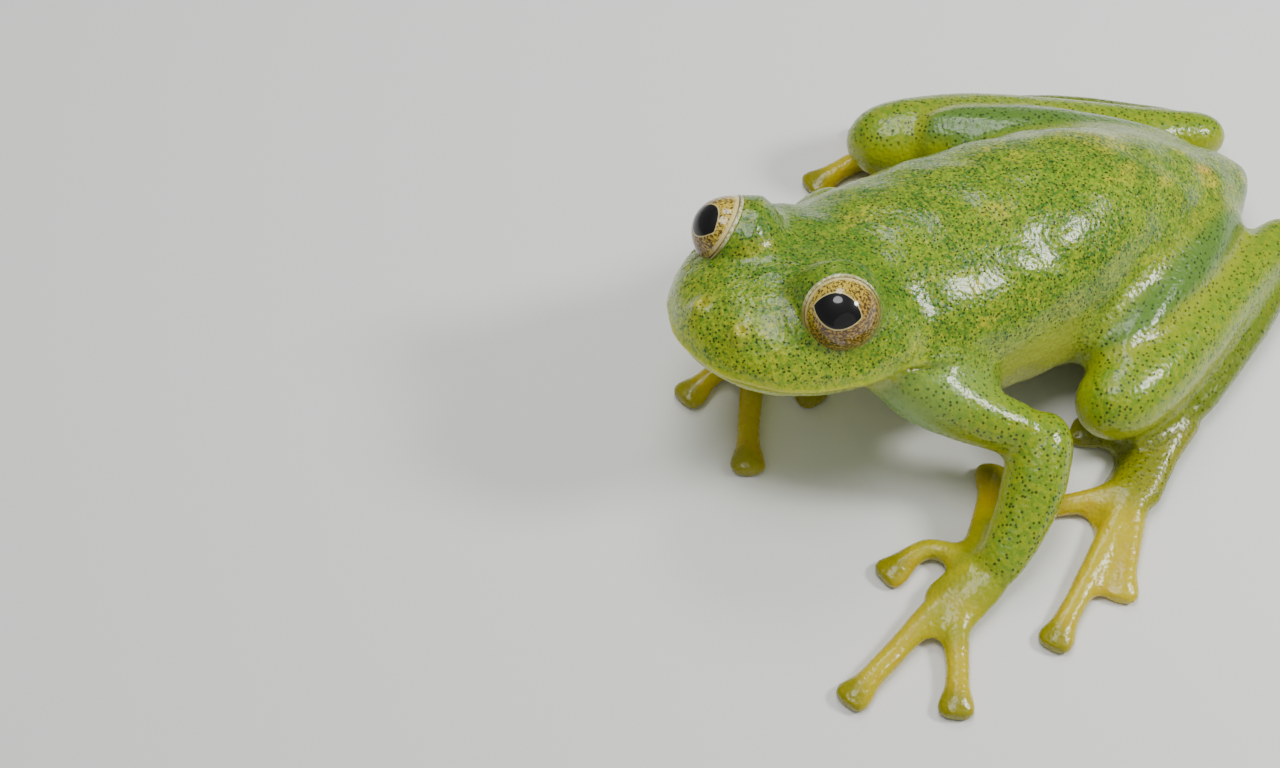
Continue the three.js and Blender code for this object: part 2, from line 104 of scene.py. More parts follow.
# The mouth: angles from straight ahead between which its line fades out, its groove, and the upper lip
MOUTH_CORNER = (92, 108)
GROOVE_WIDTH = 0.09
LIP_RISE = 0.06
LIP_ABOVE = 0.26
LIP_WIDTH = 0.14

# Where the skin has finer cells: beside the mouth's line, round the middle of an eye, and on the snout
FINE_MOUTH = 0.5
FINE_MOUTH_BACK = 1.5
FINE_EYE = 2.0
FINE_SNOUT_SIDE = 1.8
FINE_SNOUT_AHEAD = 1.6

# The skin at an eye. Angles are counted from the edge of the lids, and heights from the eyeball's surface
SOCKET_EDGE = (-3, 5)
SOCKET_REACH = 0.8
SOCKET_DEPTH = 0.14
COLLAR_ANGLES = (2, 45)
COLLAR_LOW = 0.07
COLLAR_RISE = 0.5
COLLAR_HEIGHTS = (0.35, 1.0)
COLLAR_FADE = (20, 55)

# Soles: what lies below the first height is pressed down to a share of it, just above the floor
SOLE_HEIGHT = 0.08
SOLE_CLEARANCE = 0.01
SOLE_SHARE = 0.25

# Digits: width of their pads, the least reach of a tip, where fingers begin as shares of the longest digit's
# reach, and how far from its tip a pad ends
PAD_WIDTH = 1.5
TIP_REACH = 0.4
FINGER_START = (0.3, 0.5)
PAD_END = (0.9, 1.3)

# Yellow saddle and orange fleck: place from the point between the eyes, half width and half length
SADDLE = (-0.65, 15.4, 1.3, 2.6)
VENT_FLECK = (1.1, 19.0, 0.2, 0.4)

# Slight swells of the skin: seed, number of waves, widths, height, share on limbs and rounds that spread it
SWELL_SEED = 5
SWELL_WAVES = 16
SWELL_WIDTHS = (1.1, 2.6)
SWELL_HEIGHT = 0.032
SWELL_LIMB_SHARE = 0.3
SWELL_SPREAD = 20

# Joints between head, trunk and limbs: rounds that even out the skin there, rounds that widen the strip, how
# fast it fills, and rounds that soften its edge
JOINT_ROUNDS = 90
JOINT_SPREAD = 60
JOINT_SHARE = 4.5
JOINT_EDGE = 10

# Corners closer than this become one, how strong a round of smoothing is, and rounds at the end
WELD = 0.001
SMOOTHING = 0.5
LAST_SOFTNESS = 2


def eye_centre(side):
    low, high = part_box(EYE_NODES[side])
    return (low + high) / 2


HEAD_TURN = (Matrix.Rotation(math.radians(HEAD_YAW), 3, "Z")
             @ Matrix.Rotation(math.radians(-HEAD_NOSE_UP), 3, "X")
             @ Matrix.Rotation(math.radians(-HEAD_LEFT_UP), 3, "Y"))
HEAD_MIDDLE = (eye_centre(1) + eye_centre(-1)) / 2


def head_direction(side, towards):
    azimuth, elevation = (math.radians(angle) for angle in towards)
    return HEAD_TURN @ Vector((
        side * math.sin(azimuth) * math.cos(elevation),
        -math.cos(azimuth) * math.cos(elevation),
        math.sin(elevation),
    ))


def measure(name, description, default, low=0.0, high=100.0, unit="NONE"):
    return FloatProperty(name=name, description=description, default=default, min=low, max=high, precision=3,
                         unit=unit)


def watts(name, description, default):
    return measure(name, description, default, unit="POWER")


def colour(name, description, default):
    return FloatVectorProperty(name=name, description=description, default=default, size=3, min=0, max=1,
                               subtype="COLOR")


class FrogSizes(PropertyGroup):
    """Sizes of the skin, the eyes and the lids, and rounds of smoothing"""

    voxel: measure("Skin grid", "Width of one cell of the skin's mesh", 0.165, 0.05)
    bridge: measure("Joint bridge", "How far the solids swell before they grow into one skin", 0.21)
    softness: IntProperty(name="Softness", description="Rounds of smoothing on head, body and limbs",
                          default=12, min=0)
    digit_softness: IntProperty(name="Digit softness", description="Rounds of smoothing on hands and feet",
                                default=5, min=0)
    eye_radius: measure("Eye radius", "Radius of the eyeball", 1.45)
    cornea_bulge: measure("Cornea bulge", "How far the cornea stands out of the eyeball", 0.14)
    pupil_half_width: measure("Pupil half width", "Half of the pupil along the slit", 0.86)
    pupil_half_height: measure("Pupil half height", "Half of the pupil across the slit", 0.64)
    lid_plane: measure("Lid plane", "Distance of the lid's edge from the middle of the eye", 0.42)
    lid_radius: measure("Lid edge", "Radius of the round edge of the lid", 0.085)
    mouth_depth: measure("Mouth depth", "Depth of the groove between the lips", 0.22)
    nostril_radius: measure("Nostril", "Radius of the pit of a nostril", 0.13)


class FrogColours(PropertyGroup):
    """Colours of the skin, the eyes and the studio"""

    back_deep: colour("Back, deep", "Deeper green of the back", (0.030, 0.135, 0.008))
    back_light: colour("Back, light", "Lighter green of the back", (0.21, 0.35, 0.008))
    blotch: colour("Yellow spots", "Soft yellow spots on the back", (0.58, 0.52, 0.02))
    fleck: colour("Orange fleck", "The orange fleck near the vent", (0.66, 0.42, 0.01))
    snout: colour("Snout", "Yellow-green of the snout", (0.36, 0.45, 0.006))
    limb: colour("Limbs", "Green of the upper side of arms and legs", (0.15, 0.26, 0.008))
    limb_side: colour("Sides of the limbs", "Plain yellow-green of the limbs' sides", (0.31, 0.36, 0.006))
    thigh: colour("Thighs", "Blue-green of the thighs", (0.095, 0.20, 0.022))
    armpit: colour("Armpits", "Blue-green, thin skin round the roots of the arms", (0.20, 0.34, 0.07))
    ankle: colour("Ankles", "Olive of the ankles and insteps", (0.105, 0.145, 0.003))
    digit: colour("Hands and feet", "Half see-through yellow of fingers and toes", (0.52, 0.42, 0.001))
    digit_deep: colour("Hands and feet, deep", "Deeper yellow of fingers and toes", (0.50, 0.33, 0.001))
    palm: colour("Palms", "Yellow-green of palms and soles", (0.31, 0.32, 0.006))
    pad: colour("Pads", "Olive of the pads of fingers and toes", (0.25, 0.23, 0.001))
    belly: colour("Belly", "Pale skin of flanks and belly", (0.38, 0.43, 0.05))
    lip: colour("Lip", "Pale edge of the lips", (0.66, 0.66, 0.01))
    nostril: colour("Nostrils", "Yellow of the mounds of the nostrils", (0.48, 0.44, 0.02))
    dots: colour("Dots", "Dark dots in the skin", (0.005, 0.020, 0.001))
    iris: colour("Iris", "Gold of the iris", (0.40, 0.24, 0.030))
    # Painted light: the iris is paler gold on its upper front side, as if lit from above
    iris_lit_side: colour("Iris, pale", "Paler gold round the pupil and the upper side", (0.62, 0.46, 0.045))
    iris_rim: colour("Iris, rims", "Cream round the pupil and at the edge of the iris", (0.72, 0.60, 0.25))
    iris_fleck: colour("Iris flecks", "Brown flecks in the iris", (0.050, 0.022, 0.004))
    # Painted highlight: the edges of the lids turn cream on their upper side
    lid: colour("Lid edge", "Cream edge of the lids", (0.70, 0.70, 0.40))
    lid_low: colour("Lid edge, low", "Brown-green of the lower and rear edge of the lids", (0.26, 0.22, 0.05))
    floor: colour("Floor", "Pale floor and backdrop", (0.80, 0.80, 0.78))


class FrogStudio(PropertyGroup):
    """Camera and lights"""

    azimuth: measure("Camera azimuth", "Turn from the front to the frog's left, in degrees", 61, -180, 180)
    elevation: measure("Camera elevation", "Camera's angle above the floor, in degrees", 55, 0, 90)
    distance: measure("Camera distance", "From the aim to the camera, in millimetres", 96)
    lens: measure("Lens", "Focal length, in millimetres", 70.31)
    key_power: watts("Key light", "Soft light from behind on the left", 0.062)
    far_power: watts("Far light", "Soft light on the frog's right", 0.024)
    fill_power: watts("Fill light", "Low, wide light near the camera", 0.08)
    top_power: watts("Top light", "Soft light overhead", 0.30)
    sky: measure("Surround", "Strength of the even light from all round", 0.30)


# Helpers for objects


def only(*objects):
    bpy.ops.object.select_all(action="DESELECT")
    for each in objects:
        each.select_set(True)
    bpy.context.view_layer.objects.active = objects[0]


def modify(piece, kind, **settings):
    """Adds one modifier and applies it"""
    only(piece)
    modifier = piece.modifiers.new(kind.title(), kind)
    for key, value in settings.items():
        setattr(modifier, key, value)
    bpy.ops.object.modifier_apply(modifier=modifier.name)


def resize(piece, factor):
    only(piece)
    piece.scale = (factor, factor, factor)
    bpy.ops.object.transform_apply(location=True, rotation=True, scale=True)


def points_of(mesh):
    flat = np.empty(len(mesh.vertices) * 3)
    mesh.vertices.foreach_get("co", flat)
    return flat.reshape(-1, 3)


def normals_of(mesh):
    flat = np.empty(len(mesh.vertices) * 3, np.float32)
    mesh.vertex_normals.foreach_get("vector", flat)
    return flat.reshape(-1, 3).astype(float)


def move_points(mesh, points):
    mesh.vertices.foreach_set("co", points.ravel())
    mesh.update()


def finish_piece(piece, material, nodes=()):
    """Shading, material and ride of a piece whose place is in its mesh already"""
    only(piece)
    bpy.ops.object.shade_smooth()
    piece.data.materials.clear()
    piece.data.materials.append(material)
    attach(piece, BODY)
    if nodes:
        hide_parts(*nodes)


def smoothstep(value, low, high):
    t = np.clip((value - low) / (high - low), 0, 1)
    return t * t * (3 - 2 * t)


# Helpers for materials


class Finish:
    """The node tree of one material"""

    def __init__(self, name):
        self.material = bpy.data.materials.new(name)
        self.material.use_nodes = True
        self.tree = self.material.node_tree
        self.tree.nodes.clear()
        self.shader = self.tree.nodes.new("ShaderNodeBsdfPrincipled")
        output = self.tree.nodes.new("ShaderNodeOutputMaterial")
        self.tree.links.new(self.shader.outputs["BSDF"], output.inputs["Surface"])

    def feed(self, socket, value):
        if isinstance(value, bpy.types.NodeSocket):
            self.tree.links.new(value, socket)
        elif socket.type == "RGBA":
            socket.default_value = (*tuple(value)[:3], 1)
        else:
            socket.default_value = value

    def node(self, kind, inputs=(), **settings):
        made = self.tree.nodes.new(kind)
        for key, value in settings.items():
            setattr(made, key, value)
        for key, value in dict(inputs).items():
            self.feed(made.inputs[key], value)
        return made

    def set(self, **inputs):
        for key, value in inputs.items():
            self.feed(self.shader.inputs[key.replace("_", " ")], value)

    def place(self):
        return self.node("ShaderNodeTexCoord").outputs["Object"]

    def math(self, operation, a, b=0.0, clamp=False):
        made = self.node("ShaderNodeMath", {0: a, 1: b}, operation=operation, use_clamp=clamp)
        return made.outputs[0]

    def mix(self, factor, a, b):
        return self.node("ShaderNodeMix", {0: factor, 6: a, 7: b}, data_type="RGBA").outputs[2]

    def scale(self, value, share):
        return self.math("MULTIPLY", value, share)

    def step(self, value, low, high, out_low=0.0, out_high=1.0):
        made = self.node("ShaderNodeMapRange", {0: value, 1: low, 2: high, 3: out_low, 4: out_high},
                         interpolation_type="SMOOTHSTEP")
        return made.outputs[0]

    def noise(self, vector, per_mm, detail=2.0, roughness=0.5):
        made = self.node("ShaderNodeTexNoise", {"Vector": vector, "Scale": per_mm / MM, "Detail": detail,
                                                "Roughness": roughness})
        return made.outputs["Fac"]

    def patches(self, vector, pattern):
        """Soft patches of a noise, as the patterns below describe them"""
        per_mm, detail, roughness, low, high, most = pattern
        return self.step(self.noise(vector, per_mm, detail, roughness), low, high, 0, most)

    def cells(self, vector, spacing_mm, feature="F1"):
        return self.node("ShaderNodeTexVoronoi", {"Vector": vector, "Scale": 1 / (spacing_mm * MM)},
                         feature=feature)

    def attribute(self, name):
        return self.node("ShaderNodeAttribute", attribute_name=name).outputs["Fac"]

    def bump(self, height, depth_mm, strength=1.0):
        made = self.node("ShaderNodeBump", {"Height": height, "Distance": depth_mm * MM,
                                            "Strength": strength})
        return made.outputs["Normal"]


# Patterns of skin and lids: a noise's waves per mm, its detail and roughness, the two levels between which a
# patch fades in, and how full it gets
COARSE = (0.75, 4, 0.6, 0.36, 0.64, 1)
SPECKLE = (4.2, 3, 0.6, 0.42, 0.58, 1)
GRAIN = (9, 2, 0.6, 0.46, 0.60, 0.35)
PEPPER = (6, 2, 0.5, 0.55, 0.64, 0.6)
PALM_PATCHES = (0.9, 3, 0.5, 0.4, 0.65, 0.5)
FLAMES = (1.3, 3, 0.5, 0.45, 0.65, 0.5)
LID_GRAIN = (9, 3, 0.5, 0.42, 0.55, 0.75)

# How far coarse patches and speckles lighten the back, and how far its crown darkens
COARSE_SHARE = 0.45
SPECKLE_SHARE = 0.5
CROWN_SHARE = 0.32

# Yellow spots of the back: noise, stretch along the frog, edge, least share between speckles, and how far the
# saddle adds to them
SPOT_NOISE = (0.9, 3, 0.55)
SPOT_STRETCH = 0.5
SPOT_EDGE = (0.54, 0.74, 0, 0.7)
SPOT_LEAST = 0.35
SADDLE_SHARE = 0.17

# Limbs: how far speckles lighten them, how full the thigh's border is, and the olive of ankles and insteps
LIMB_SPECKLE = 0.6
THIGH_BORDER = 3.0
ANKLE_SHARE = 0.7

# Dots of pigment: spacing, radius and the share of places that hold one, and how their edges and chance fade
BACK_DOTS = (0.15, 0.048, 0.9)
LIMB_DOTS = (0.19, 0.062, 0.92)
DOT_EDGE = (0.6, 1.15)
DOT_CHANCE_EDGE = 0.1
DOT_STRENGTH = 0.95
LIMB_DOT_SHARES = (0.35, 0.9)

# Wetness of the skin: a noise, two of its levels, and the roughness there
WET_NOISE = (5, 2)
WET_ROUGHNESS = (0.3, 0.7, 0.22, 0.36)

# Grain of the skin: a noise and its share, the spacing of pores, and its depth under the wet film and on it
GRAIN_NOISE = (8, 3, 0.6)
GRAIN_SHARE = 0.6
PORE_SPACING = 0.17
PORE_DEPTH = 0.035
FILM_DEPTH = 0.016
RELIEF_STRENGTH = 0.9


def spotted(skin, place, spacing, radius, share):
    """Round dots of pigment, soft at their edges"""
    dots = skin.cells(place, spacing)
    inner, outer = (edge * radius / spacing for edge in DOT_EDGE)
    dot = skin.step(dots.outputs["Distance"], inner, outer, 1, 0)
    chance = skin.node("ShaderNodeSeparateColor", {0: dots.outputs["Color"]}).outputs[0]
    held = skin.step(chance, 1 - share - DOT_CHANCE_EDGE, 1 - share + DOT_CHANCE_EDGE)
    return skin.math("MULTIPLY", dot, held)


def back_tone(skin, place, speckle, colours):
    """Green of head and trunk: lighter patches, yellow spots, an orange fleck and a yellow-green snout"""
    light = skin.math("ADD", skin.scale(skin.patches(place, COARSE), COARSE_SHARE),
                      skin.scale(speckle, SPECKLE_SHARE), clamp=True)
    tone = skin.mix(light, colours.back_deep, colours.back_light)
    along = skin.node("ShaderNodeMapping", {"Vector": place, "Scale": (1.0, SPOT_STRETCH, 1.0)})
    spots = skin.math("ADD", skin.noise(along.outputs["Vector"], *SPOT_NOISE),
                      skin.scale(skin.attribute("saddle"), SADDLE_SHARE))
    spots = skin.math("MULTIPLY", skin.step(spots, *SPOT_EDGE), skin.step(speckle, 0, 1, SPOT_LEAST, 1))
    tone = skin.mix(spots, tone, colours.blotch)
    tone = skin.mix(skin.attribute("fleck"), tone, colours.fleck)
    tone = skin.mix(skin.attribute("snout"), tone, skin.mix(speckle, colours.back_light, colours.snout))
    tone = skin.mix(skin.patches(place, GRAIN), tone, colours.blotch)
    tone = skin.mix(skin.patches(place, PEPPER), tone, colours.back_deep)
    return skin.mix(skin.scale(skin.attribute("crown"), CROWN_SHARE), tone, colours.back_deep)


def limb_tone(skin, speckle, colours):
    """Green of arms and legs: plain on their sides, blue-green with a yellow border on the thighs"""
    thigh = skin.attribute("thigh")
    border = skin.scale(skin.math("MULTIPLY", thigh, skin.math("SUBTRACT", 1.0, thigh)), THIGH_BORDER)
    tone = skin.mix(skin.scale(speckle, LIMB_SPECKLE), colours.limb, colours.limb_side)
    tone = skin.mix(thigh, tone, colours.thigh)
    return skin.mix(skin.math("MAXIMUM", border, skin.attribute("side")), tone, colours.limb_side)


def digit_tone(skin, place, colours):
    """Yellow of hands and feet, with deeper flames on fingers and toes and olive pads"""
    palms = skin.mix(skin.patches(place, PALM_PATCHES), colours.palm, colours.digit)
    fingers = skin.mix(skin.patches(place, FLAMES), colours.digit, colours.digit_deep)
    tone = skin.mix(skin.attribute("finger"), palms, fingers)
    return skin.mix(skin.attribute("pad"), tone, colours.pad)


def skin_finish(colours):
    """Moist green skin: speckled back with dark dots, paler limbs and flanks, yellow hands and feet"""
    skin = Finish("frog skin")
    place = skin.place()
    limb = skin.attribute("limb")
    speckle = skin.patches(place, SPECKLE)
    tone = skin.mix(limb, back_tone(skin, place, speckle, colours), limb_tone(skin, speckle, colours))
    tone = skin.mix(skin.attribute("pale"), tone, colours.belly)
    tone = skin.mix(skin.attribute("armpit"), tone, colours.armpit)
    tone = skin.mix(skin.attribute("digit"), tone, digit_tone(skin, place, colours))
    tone = skin.mix(skin.scale(skin.attribute("ankle"), ANKLE_SHARE), tone, colours.ankle)
    tone = skin.mix(skin.attribute("lip"), tone, colours.lip)
    tone = skin.mix(skin.attribute("nostril"), tone, colours.nostril)

    on_back = skin.math("SUBTRACT", 1.0, limb, clamp=True)
    on_limbs = skin.step(limb, 0, 1, *LIMB_DOT_SHARES)
    dots = skin.math("ADD", skin.math("MULTIPLY", spotted(skin, place, *BACK_DOTS), on_back),
                     skin.math("MULTIPLY", spotted(skin, place, *LIMB_DOTS), on_limbs), clamp=True)
    dots = skin.math("MULTIPLY", dots, skin.attribute("dotted"))
    tone = skin.mix(skin.scale(dots, DOT_STRENGTH), tone, colours.dots)

    pores = skin.math("ADD", skin.scale(skin.noise(place, *GRAIN_NOISE), GRAIN_SHARE),
                      skin.cells(place, PORE_SPACING, "SMOOTH_F1").outputs["Distance"])
    skin.set(Base_Color=tone, Roughness=skin.step(skin.noise(place, *WET_NOISE), *WET_ROUGHNESS),
             Subsurface_Weight=0.12, Subsurface_Radius=(1.0, 0.9, 0.3), Subsurface_Scale=0.3 * MM,
             IOR=1.33, Coat_Weight=0.45, Coat_IOR=1.5, Coat_Roughness=0.12,
             Normal=skin.bump(pores, PORE_DEPTH, RELIEF_STRENGTH),
             Coat_Normal=skin.bump(pores, FILM_DEPTH, RELIEF_STRENGTH))
    return skin.material


# The pupil: powers of its outline along the slit and across it, the edge of its black, and the ring round it
PUPIL_POWERS = (2.0, 1.3)
PUPIL_EDGE = (0.98, 1.05, 1, 0)
PUPIL_RING = (1.05, 1.16, 0.85, 0)
PUPIL_BLACK = (0.001, 0.001, 0.001)

# The iris: its upper front side, painted lighter as if lit from above, the noise and edge of its brown
# flecks, how far they thin out on that side, and its cream band and dark edge, whose first two numbers are
# heights above the plane of the lids, in mm
LIT_SIDE_TURN = 0.9
LIT_SIDE_EDGE = (-0.9, 1.3)
FLECK_NOISE = {"Scale": 10.0, "Detail": 3.0, "Roughness": 0.7}
FLECK_EDGE = (0.45, 0.51, 0, 0.95)
FLECK_THINNING = 0.035
IRIS_BAND = (0.17, 0.28, 1, 0)
IRIS_BAND_SHARES = (0.2, 0.9, 0.25, 0.85)
IRIS_EDGE = (0.06, 0.10, 0.95, 0)


def eye_finish(name, side, centre, turn, lid_axis, sizes, colours):
    """A gold iris with brown flecks round a black pupil, under a clear wet coat"""
    eye = Finish(name)
    mapping = eye.node("ShaderNodeMapping", {"Vector": eye.place(), "Location": centre,
                                             "Rotation": turn.to_euler(), "Scale": (MM, MM, MM)},
                       vector_type="TEXTURE")
    local = mapping.outputs["Vector"]
    parts = eye.node("ShaderNodeSeparateXYZ", {0: local}).outputs
    halves = (sizes.pupil_half_width * PUPIL_SHARE[side], sizes.pupil_half_height)
    along, across = (
        eye.math("POWER", eye.math("ABSOLUTE", eye.math("DIVIDE", parts[axis], half)), exponent)
        for axis, half, exponent in zip("XY", halves, PUPIL_POWERS))
    pupil = eye.math("ADD", along, across)
    open_to = eye.node("ShaderNodeVectorMath", {0: local, 1: turn.transposed() @ lid_axis},
                       operation="DOT_PRODUCT").outputs["Value"]
    open_to = eye.math("SUBTRACT", open_to, sizes.lid_plane)

    # Painted light: the upper front of the iris turns paler gold, with fewer flecks and a fuller cream band
    painted_lit_side = eye.math("SUBTRACT", parts["Y"], eye.scale(parts["X"], LIT_SIDE_TURN * side))
    painted_lit_side = eye.step(painted_lit_side, *LIT_SIDE_EDGE)
    flecks = eye.node("ShaderNodeTexNoise", {"Vector": local, **FLECK_NOISE}).outputs["Fac"]
    flecks = eye.math("SUBTRACT", flecks, eye.scale(painted_lit_side, FLECK_THINNING))
    band = eye.math("MULTIPLY", eye.step(open_to, *IRIS_BAND), eye.step(painted_lit_side, *IRIS_BAND_SHARES))
    tone = eye.mix(painted_lit_side, colours.iris, colours.iris_lit_side)
    tone = eye.mix(eye.step(flecks, *FLECK_EDGE), tone, colours.iris_fleck)
    tone = eye.mix(band, tone, colours.iris_rim)
    tone = eye.mix(eye.step(pupil, *PUPIL_RING), tone, colours.iris_rim)
    tone = eye.mix(eye.step(open_to, *IRIS_EDGE), tone, colours.iris_fleck)
    tone = eye.mix(eye.step(pupil, *PUPIL_EDGE), tone, PUPIL_BLACK)
    eye.set(Base_Color=tone, Roughness=0.4, Specular_IOR_Level=0.1, Coat_Weight=1.0, Coat_Roughness=0.07)
    return eye.material


# Which way the lids turn from brown-green to cream, a highlight painted on their upper side, and where,
# from the point between the eyes
LID_HIGHLIGHT_WAY = (0, -0.2, 0.98)
LID_HIGHLIGHT_FROM = 0.4
LID_HIGHLIGHT_TO = 1.1

# Relief of the lids: its noise and its depth
LID_RELIEF = (8, 3)
LID_RELIEF_DEPTH = 0.03


def lid_finish(colours):
    """Cream painted on the upper and front side of the lids as a highlight, brown-green on the rest"""
    lid = Finish("lid edge")
    place = lid.place()
    axis = HEAD_TURN @ Vector(LID_HIGHLIGHT_WAY)
    height = lid.node("ShaderNodeVectorMath", {0: place, 1: axis},
                      operation="DOT_PRODUCT").outputs["Value"]
    middle = axis.dot(HEAD_MIDDLE)
    # Painted highlight: cream on the upper side of the lid's edge
    upper = lid.step(height, middle + LID_HIGHLIGHT_FROM * MM, middle + LID_HIGHLIGHT_TO * MM)
    tone = lid.mix(upper, colours.lid_low, colours.lid)
    tone = lid.mix(lid.patches(place, LID_GRAIN), tone, colours.lid_low)
    relief = lid.bump(lid.noise(place, *LID_RELIEF), LID_RELIEF_DEPTH)
    lid.set(Base_Color=tone, Roughness=0.3, Normal=relief)
    return lid.material


def floor_finish(colours):
    """The matt, even tone of the floor"""
    floor = Finish("pale floor")
    floor.set(Base_Color=colours.floor, Roughness=0.7)
    return floor.material


# The skin


def grown_skin(sizes):
    """One closed skin over all solids, eyes too, with the gaps between them grown shut"""
    names = BACK_NODES + LIMB_NODES + DIGIT_NODES + tuple(EYE_NODES.values())
    only(*(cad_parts[name] for name in names))
    bpy.ops.object.duplicate()
    bpy.ops.object.join()
    copy = bpy.context.view_layer.objects.active
    skin = bpy.data.objects.new("frog_skin", copy.data)
    bpy.context.scene.collection.objects.link(skin)
    bpy.data.objects.remove(copy)
    resize(skin, 1 / MM)
    bpy.ops.object.mode_set(mode="EDIT")
    bpy.ops.mesh.select_all(action="SELECT")
    bpy.ops.mesh.remove_doubles(threshold=WELD)
    bpy.ops.object.mode_set(mode="OBJECT")
    modify(skin, "SUBSURF", levels=1, render_levels=1)
    modify(skin, "DISPLACE", strength=sizes.bridge, mid_level=0.0)
    modify(skin, "REMESH", mode="VOXEL", voxel_size=sizes.voxel)
    group = skin.vertex_groups.new(name="body")
    owner = nearest_nodes(points_of(skin.data))
    group.add([int(number) for number in np.flatnonzero(~np.isin(owner, DIGIT_NODES))], 1.0, "REPLACE")
    modify(skin, "SMOOTH", factor=SMOOTHING, iterations=sizes.digit_softness)
    modify(skin, "SMOOTH", factor=SMOOTHING, iterations=sizes.softness - sizes.digit_softness,
           vertex_group="body")
    skin.vertex_groups.clear()
    modify(skin, "DISPLACE", strength=-sizes.bridge, mid_level=0.0)
    modify(skin, "SMOOTH", factor=SMOOTHING, iterations=LAST_SOFTNESS)
    return skin


def head_places(points):
    """The points in the head's own directions, in millimetres from the point between the eyes"""
    return (points - np.array(HEAD_MIDDLE) / MM) @ np.array(HEAD_TURN)


def refine_head(skin):
    """Finer cells where the mouth, the eyes and the nostrils need them"""
    mesh = skin.data
    centres = np.empty(len(mesh.polygons) * 3)
    mesh.polygons.foreach_get("center", centres)
    local = head_places(centres.reshape(-1, 3))
    near_mouth = np.abs(local[:, 2] - MOUTH_HEIGHT) < FINE_MOUTH
    near_mouth &= local[:, 1] < HEAD_AXIS_BACK + FINE_MOUTH_BACK
    near_eye = np.zeros(len(local), bool)
    for side in EYE_NODES:
        offset = centres.reshape(-1, 3) - np.array(eye_centre(side)) / MM
        near_eye |= np.linalg.norm(offset, axis=1) < FINE_EYE
    snout = (np.abs(local[:, 0]) < FINE_SNOUT_SIDE) & (local[:, 1] < -FINE_SNOUT_AHEAD)
    snout &= local[:, 2] > MOUTH_HEIGHT
    chosen = (near_mouth | near_eye | snout) & (np.linalg.norm(local, axis=1) < HEAD_REACH)
    only(skin)
    bpy.ops.object.mode_set(mode="EDIT")
    bpy.ops.mesh.select_mode(type="FACE")
    bpy.ops.mesh.select_all(action="DESELECT")
    bpy.ops.object.mode_set(mode="OBJECT")
    mesh.polygons.foreach_set("select", chosen)
    bpy.ops.object.mode_set(mode="EDIT")
    bpy.ops.mesh.subdivide(number_cuts=1, smoothness=0)
    bpy.ops.object.mode_set(mode="OBJECT")


def mouth_share(local):
    """How fully a place lies on the line of the mouth: 1 from the snout to the corners, 0 behind them"""
    angle = np.degrees(np.arctan2(np.abs(local[:, 0]), HEAD_AXIS_BACK - local[:, 1]))
    return 1 - smoothstep(angle, *MOUTH_CORNER)


def shape_mouth(points, normals, sizes):
    """A groove between the lips, with the upper lip a little proud of the lower"""
    local = head_places(points)
    near = mouth_share(local) * (np.linalg.norm(local, axis=1) < HEAD_REACH)
    off = local[:, 2] - MOUTH_HEIGHT
    groove = sizes.mouth_depth * np.exp(-(off / GROOVE_WIDTH) ** 2)
    upper_lip = LIP_RISE * np.exp(-((off - LIP_ABOVE) / LIP_WIDTH) ** 2)
    return points + normals * ((upper_lip - groove) * near)[:, None]


def shape_nostrils(points, normals, sizes):
    """Two low mounds near the tip of the snout, each with a small pit"""
    local = head_places(points)
    above = local[:, 2] > MOUTH_HEIGHT + NOSTRIL_ABOVE_MOUTH
    moved = points.copy()
    for side in (1, -1):
        away = np.hypot(local[:, 0] - side * NOSTRIL_SIDE, local[:, 1] + NOSTRIL_FORWARD)
        mound = NOSTRIL_MOUND * np.exp(-(away / NOSTRIL_MOUND_WIDTH) ** 2)
        pit = NOSTRIL_PIT * np.exp(-(away / sizes.nostril_radius) ** 2)
        moved += normals * ((mound - pit) * above)[:, None]
    return moved


def shape_sockets(points, sizes):
    """The skin dips under each eyeball and ends at the lid, where it lies close to the ball"""
    moved = points.copy()
    rim = math.degrees(math.acos(sizes.lid_plane / sizes.eye_radius))
    for side in EYE_NODES:
        centre = np.array(eye_centre(side)) / MM
        offset = moved - centre
        away = np.linalg.norm(offset, axis=1)
        towards = np.array(head_direction(side, LID_TOWARDS))
        angle = np.degrees(np.arccos(np.clip(offset @ towards / away, -1, 1))) - rim
        height = away - sizes.eye_radius
        under = (1 - smoothstep(angle, *SOCKET_EDGE)) * (height < SOCKET_REACH)
        collar = COLLAR_LOW + COLLAR_RISE * smoothstep(angle, *COLLAR_ANGLES)
        wanted = np.minimum(height, collar) * (1 - under) - SOCKET_DEPTH * under
        near = (1 - smoothstep(height, *COLLAR_HEIGHTS)) * (1 - smoothstep(angle, *COLLAR_FADE))
        risen = height + (wanted - height) * np.maximum(near, under)
        moved = centre + offset * ((sizes.eye_radius + risen) / away)[:, None]
    return moved


def swell(points, normals, share):
    """Slight swells of the skin, a millimetre or two wide, which break up its shine"""
    draw = np.random.default_rng(SWELL_SEED)
    height = np.zeros(len(points))
    for _ in range(SWELL_WAVES):
        heading = draw.normal(size=3)
        heading *= 2 * math.pi / (np.linalg.norm(heading) * draw.uniform(*SWELL_WIDTHS))
        height += np.sin(points @ heading + draw.uniform(0, 2 * math.pi))
    return points + normals * (SWELL_HEIGHT * height / math.sqrt(SWELL_WAVES) * share)[:, None]


def flatten_soles(points):
    """Nothing reaches under the floor, and soles lie flat on it"""
    moved = points.copy()
    height = moved[:, 2]
    pressed = SOLE_CLEARANCE + SOLE_SHARE * np.maximum(height - SOLE_CLEARANCE, 0)
    moved[:, 2] = np.where(height < SOLE_HEIGHT, pressed, height)
    return moved


